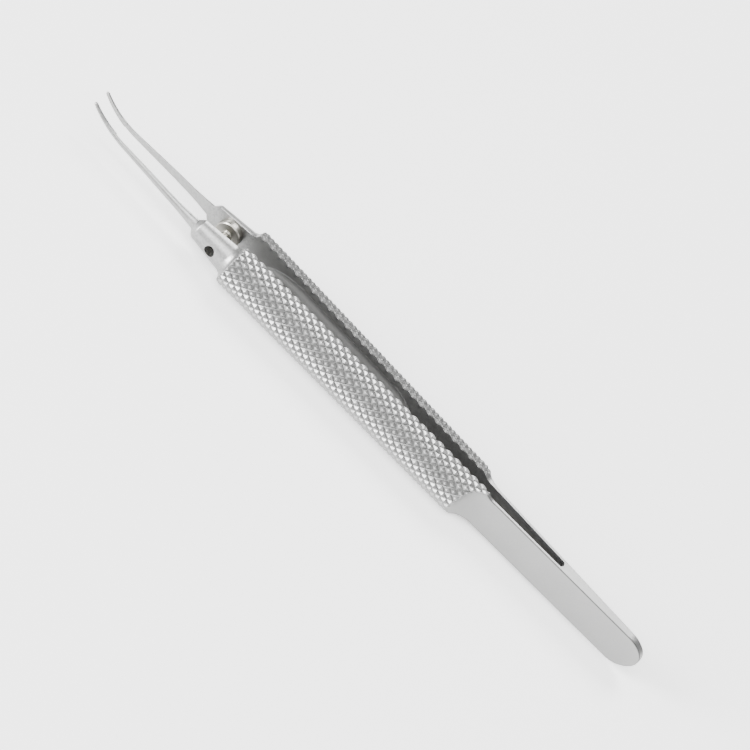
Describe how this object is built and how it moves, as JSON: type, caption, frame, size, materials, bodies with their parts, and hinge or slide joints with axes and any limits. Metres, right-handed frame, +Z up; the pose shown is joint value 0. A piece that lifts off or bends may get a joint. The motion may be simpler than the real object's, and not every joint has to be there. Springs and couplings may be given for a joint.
{
  "type": "tying forceps",
  "caption": "Micro tying forceps with a knurled round handle, thin spring blades, curved half-round tips with flat platforms and a stepped stop pin.",
  "frame": {"origin": "middle of the length and width, at the lowest knurl crests on which the forceps lies", "axes": "+X from the tips to the tail, +Y across the two arms towards the arm that carries the stop pin, +Z up, the way the tips curve"},
  "size_m": [0.1201, 0.0122, 0.0082],
  "materials": {
    "satin_steel": "satin stainless steel, bead blasted handle",
    "pin_steel": "turned stainless steel, slightly warmer"
  },
  "bodies": {
    "tail": {"tail_spacer": "satin_steel"},
    "near_jaw": {"near_arm": "satin_steel"},
    "far_jaw": {"far_arm": "satin_steel", "stop_pin": "pin_steel"}
  },
  "joints": [
    {"name": "near_squeeze", "type": "hinge", "parent": "tail", "child": "near_jaw", "pos_m": [0.041, -0.00066, 0.0041], "axis": [0, 0, -1], "range_deg": [0, 0.9], "stiffness_Nm_per_rad": 1},
    {"name": "far_squeeze", "type": "hinge", "parent": "tail", "child": "far_jaw", "pos_m": [0.041, 0.00066, 0.0041], "axis": [0, 0, 1], "range_deg": [0, 0.9], "stiffness_Nm_per_rad": 1}
  ],
  "couplings": [
    {"joint": "far_squeeze", "follows": "near_squeeze", "ratio": 1}
  ]
}
